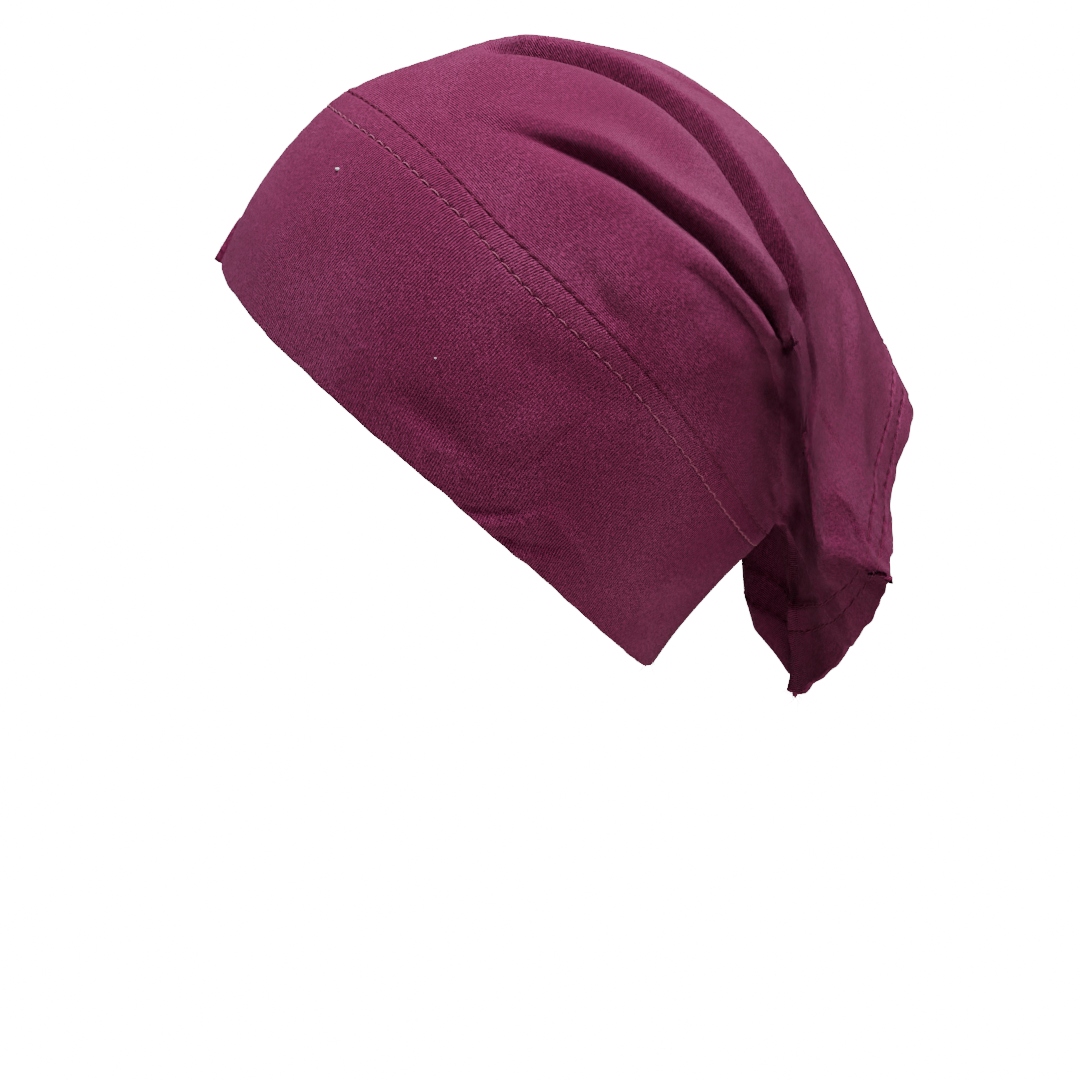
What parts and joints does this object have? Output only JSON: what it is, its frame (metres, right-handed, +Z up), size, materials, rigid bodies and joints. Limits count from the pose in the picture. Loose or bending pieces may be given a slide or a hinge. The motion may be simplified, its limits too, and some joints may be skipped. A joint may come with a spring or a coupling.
{
  "type": "hijab underscarf cap",
  "caption": "Jersey tube cap worn under a headscarf, with a wide turned-in front band, folds gathered at a waist behind the head and an open tail hanging down the neck.",
  "frame": {"origin": "the point inside the crown where the top of the wearer's head touches the cloth", "axes": "+X to the back of the head, so the wearer faces -X; -Y to the wearer's left; +Z up"},
  "size_m": [0.2226, 0.1522, 0.219],
  "materials": {
    "jersey": "matte twill-faced jersey, burgundy"
  },
  "bodies": {
    "root": {"panel_left": "jersey", "panel_right": "jersey", "band_facing": "jersey", "hem_facing": "jersey", "crown_seam_allowance": "jersey", "nape_seam_allowance": "jersey", "seam_end_front": "jersey", "seam_end_nape": "jersey", "seam_end_tail": "jersey"}
  },
  "joints": []
}
